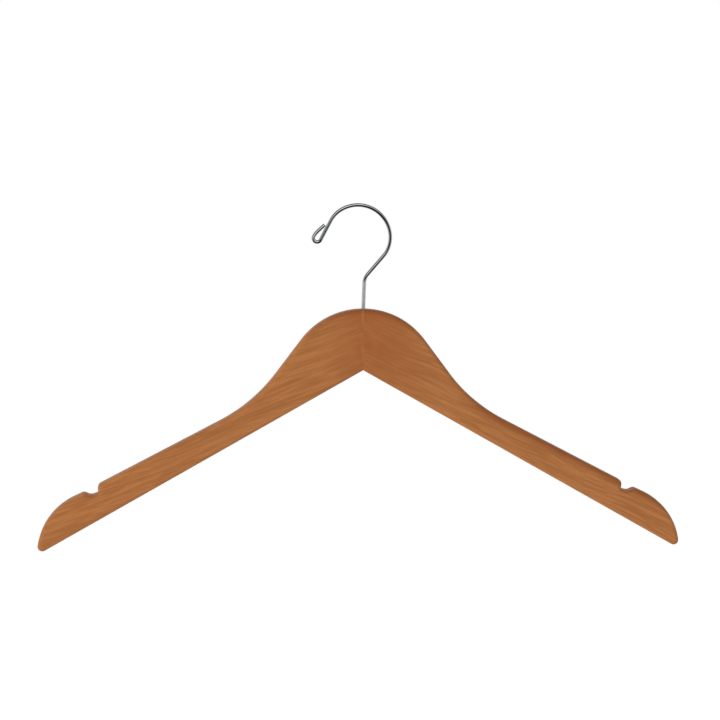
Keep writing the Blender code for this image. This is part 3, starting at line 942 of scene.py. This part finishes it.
def glowing(tree, ray, even, glows):
    """Sum of the lobes over an even level."""
    total = even
    for glow in glows:
        total = add_node(tree, "ShaderNodeMath", {0: lobe(tree, ray, glow), 1: total}, operation="ADD")
    return total


def make_world():
    """Even white backdrop. Reflections see a dim room with a lit backdrop, pale sides and softboxes."""
    world = bpy.data.worlds.new("studio")
    bpy.context.scene.world = world
    world.use_nodes = True
    tree = world.node_tree
    tree.nodes.clear()
    ray = add_node(tree, "ShaderNodeTexCoord", output="Generated")
    glossy = add_node(tree, "ShaderNodeLightPath", output="Is Glossy Ray")
    camera = add_node(tree, "ShaderNodeLightPath", output="Is Camera Ray")
    soft = glowing(tree, ray, AMBIENT, AMBIENT_GLOWS)
    room = glowing(tree, ray, ROOM, ROOM_GLOWS)
    brightness = add_node(tree, "ShaderNodeMix", {0: glossy, 2: soft, 3: room})
    seen = add_node(tree, "ShaderNodeMix", {0: camera, 2: brightness, 3: 1.0})
    background = add_node(tree, "ShaderNodeBackground", {"Color": opaque((1, 1, 1)), "Strength": seen})
    add_node(tree, "ShaderNodeOutputWorld", {"Surface": background})


# Operators and panel


class HANGER_OT_arms(bpy.types.Operator):
    """Build the two wooden arms round the frame"""

    bl_idname = "hanger.arms"
    bl_label = "Wooden arms"

    def execute(self, context):
        make_arm("left", -1)
        make_arm("right", 1)
        return {"FINISHED"}


class HANGER_OT_hook(bpy.types.Operator):
    """Build the bent wire hook round the frame"""

    bl_idname = "hanger.hook"
    bl_label = "Wire hook"

    def execute(self, context):
        make_hook()
        return {"FINISHED"}


class HANGER_OT_fittings(bpy.types.Operator):
    """Give the washer and the dowels inside the wood their finishes"""

    bl_idname = "hanger.fittings"
    bl_label = "Washer and dowels"

    def execute(self, context):
        beech = plain_beech()
        finishes = {"thrust_washer": zinc_steel(), "upper_dowel": beech, "lower_dowel": beech}
        for node, material in finishes.items():
            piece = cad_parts[node]
            piece.data.materials.clear()
            piece.data.materials.append(material)
        return {"FINISHED"}


class HANGER_OT_stage(bpy.types.Operator):
    """Set up the camera, the floor and the soft studio light"""

    bl_idname = "hanger.stage"
    bl_label = "Studio"

    def execute(self, context):
        stage = settings("hanger_stage")
        make_camera(stage)
        make_floor(stage)
        make_world()
        for name, (place, width, height, watts) in LAMPS.items():
            make_lamp(name, place, (0, 0, -stage.target), width, height, watts)
        context.scene.view_settings.view_transform = "Standard"
        return {"FINISHED"}


class HANGER_PT_panel(bpy.types.Panel):
    """Hanger settings and the steps that build it"""

    bl_idname = "HANGER_PT_panel"
    bl_label = "Hanger"
    bl_space_type = "VIEW_3D"
    bl_region_type = "UI"
    bl_category = "Hanger"

    def draw(self, context):
        for operator in OPERATORS:
            self.layout.operator(operator.bl_idname)
        for name in SETTINGS:
            box = self.layout.box()
            group = settings(name)
            for field in group.bl_rna.properties:
                if field.identifier in group.__annotations__:
                    box.prop(group, field.identifier)


SETTINGS = {
    "hanger_board": HangerBoardSettings,
    "hanger_hook": HangerHookSettings,
    "hanger_finish": HangerFinishSettings,
    "hanger_stage": HangerStageSettings,
}
OPERATORS = (HANGER_OT_arms, HANGER_OT_hook, HANGER_OT_fittings, HANGER_OT_stage)
CLASSES = (*SETTINGS.values(), *OPERATORS, HANGER_PT_panel)


def register():
    for cls in CLASSES:
        bpy.utils.register_class(cls)
    for name, group in SETTINGS.items():
        setattr(bpy.types.Scene, name, PointerProperty(type=group))


def unregister():
    for name in SETTINGS:
        delattr(bpy.types.Scene, name)
    for cls in reversed(CLASSES):
        bpy.utils.unregister_class(cls)


def main():
    register()
    bpy.ops.hanger.arms()
    bpy.ops.hanger.hook()
    bpy.ops.hanger.fittings()
    bpy.ops.hanger.stage()


if __name__ == "__main__":
    main()
